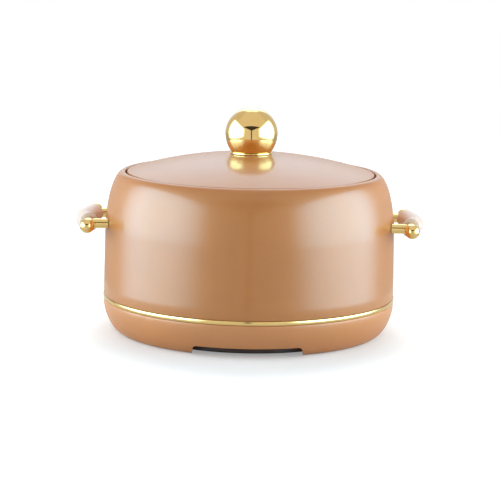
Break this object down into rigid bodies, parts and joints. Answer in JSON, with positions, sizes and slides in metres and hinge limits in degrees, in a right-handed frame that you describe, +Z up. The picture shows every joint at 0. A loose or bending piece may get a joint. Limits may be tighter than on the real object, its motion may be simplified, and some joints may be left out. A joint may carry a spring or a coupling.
{
  "type": "insulated casserole",
  "caption": "Round insulated casserole with a double-walled body, rounded foot, metal trim band, bowed side handles and a domed lift-off lid with a ball knob.",
  "frame": {"origin": "on the table, under the middle of the pot", "axes": "+Z up through the knob, +X through the right-hand handle, the foot's notches face -Y and +Y"},
  "size_m": [0.31, 0.2606, 0.1998],
  "materials": {
    "lacquer": "gloss",
    "skirt_lacquer": "satin",
    "gold_plate": "polished",
    "bowl_steel": "satin",
    "fastener_steel": "satin",
    "dark_base": "matte",
    "rubber_foot": "matte",
    "seal": "matte",
    "foam": "matte",
    "collar_plastic": "satin"
  },
  "bodies": {
    "pot": {"base_skirt": "skirt_lacquer", "base_plate": "dark_base", "foot_ring": "rubber_foot", "base_screw_1": "fastener_steel", "base_screw_2": "fastener_steel", "base_screw_3": "fastener_steel", "base_screw_4": "fastener_steel", "trim_band": "gold_plate", "outer_shell": "lacquer", "rim_collar": "collar_plastic", "inner_pot": "bowl_steel", "body_insulation": "foam", "left_backing_strip": "fastener_steel", "right_backing_strip": "fastener_steel", "left_grip": "lacquer", "left_tie_rod": "fastener_steel", "left_front_bracket": "gold_plate", "left_front_ball": "gold_plate", "left_front_handle_screw": "fastener_steel", "left_rear_bracket": "gold_plate", "left_rear_ball": "gold_plate", "left_rear_handle_screw": "fastener_steel", "right_grip": "lacquer", "right_tie_rod": "fastener_steel", "right_front_bracket": "gold_plate", "right_front_ball": "gold_plate", "right_front_handle_screw": "fastener_steel", "right_rear_bracket": "gold_plate", "right_rear_ball": "gold_plate", "right_rear_handle_screw": "fastener_steel"},
    "lid": {"lid_cover": "lacquer", "lid_liner": "bowl_steel", "lid_insulation": "foam", "lid_gasket": "seal", "knob_ring": "gold_plate", "knob_ball": "gold_plate", "knob_stud": "fastener_steel", "knob_washer": "fastener_steel", "knob_nut": "fastener_steel"}
  },
  "joints": [
    {"name": "lid_lift", "type": "slide", "parent": "pot", "child": "lid", "axis": [0, 0, 1], "range_m": [0, 0.12]}
  ]
}
